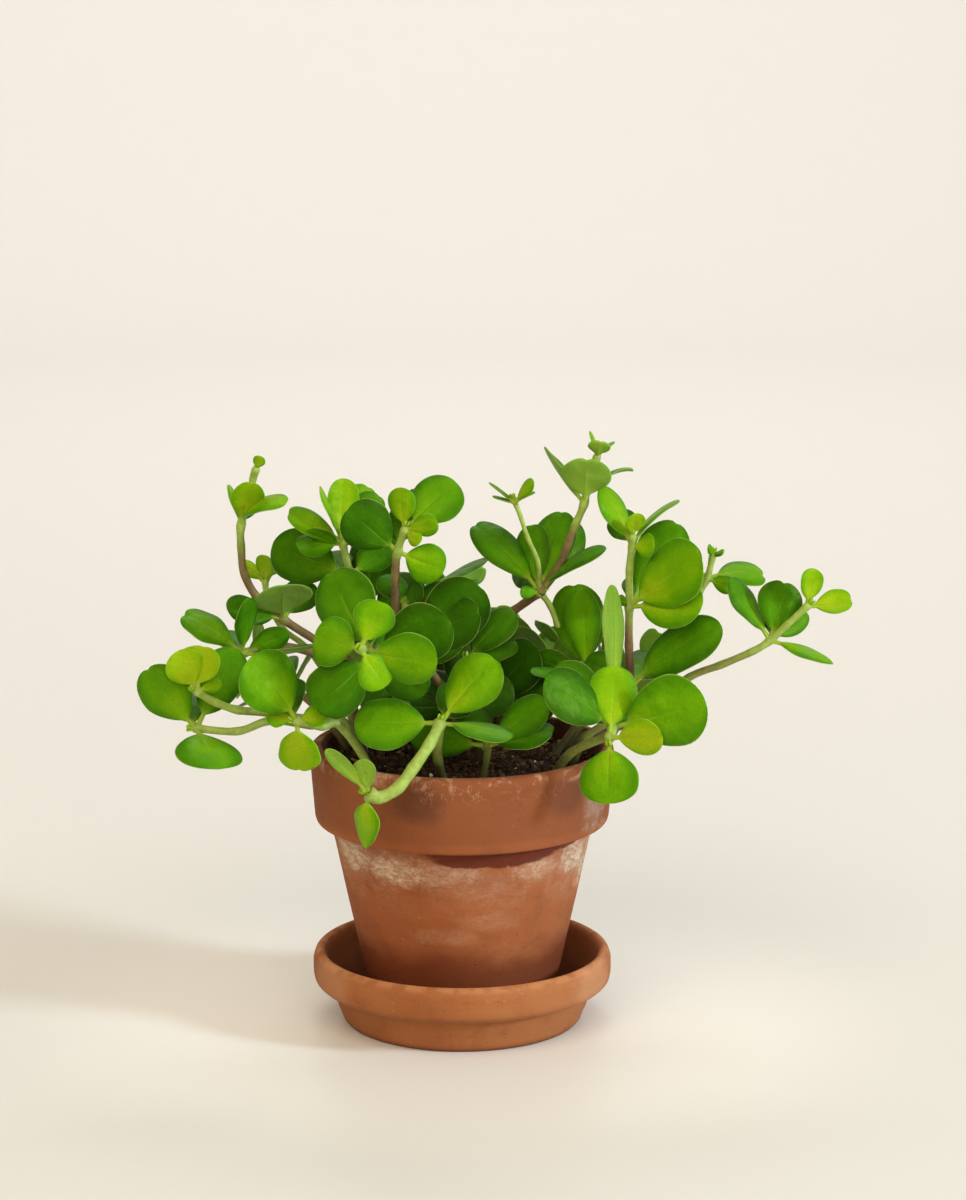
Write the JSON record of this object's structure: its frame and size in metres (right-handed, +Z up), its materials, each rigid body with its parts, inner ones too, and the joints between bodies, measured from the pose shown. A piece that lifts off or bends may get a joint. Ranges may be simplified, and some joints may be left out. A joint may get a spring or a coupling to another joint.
{
  "type": "potted trailing jade peperomia",
  "caption": "Trailing jade peperomia with fleshy round leaves on branching stems, growing in soil in a rimmed clay pot that stands in a clay saucer.",
  "frame": {"origin": "middle of the flat underside of the saucer", "axes": "+Z up, the plant's front faces -Y, +X to the right seen from the front"},
  "size_m": [0.2789, 0.1868, 0.24],
  "materials": {
    "pot_clay": "matte unglazed fired clay with pale lime bloom and a damp band at the foot",
    "saucer_clay": "matte unglazed fired clay, clean and a little paler than the pot",
    "soil": "damp crumbly potting soil",
    "plant": "satin waxy leaf skin on olive stems"
  },
  "bodies": {
    "root": {"saucer": "saucer_clay", "pot": "pot_clay", "soil": "soil", "stem_tall_left": "plant", "stem_pale_left": "plant", "stem_left_middle": "plant", "stem_far_left": "plant", "stem_low_left": "plant", "stem_front_left": "plant", "stem_rosette": "plant", "stem_upper_middle": "plant", "stem_upper_left": "plant", "stem_dark_middle": "plant", "stem_right_middle": "plant", "stem_low_middle": "plant", "stem_front": "plant", "stem_low_front": "plant", "stem_right_tall": "plant", "stem_right_upright": "plant", "stem_right_front": "plant", "stem_right_inner": "plant", "stem_far_right": "plant", "stem_right_arch": "plant", "stem_back_1": "plant", "stem_back_2": "plant", "stem_back_3": "plant", "stem_back_4": "plant", "stem_back_5": "plant", "stem_back_6": "plant", "stem_back_7": "plant"}
  },
  "joints": []
}
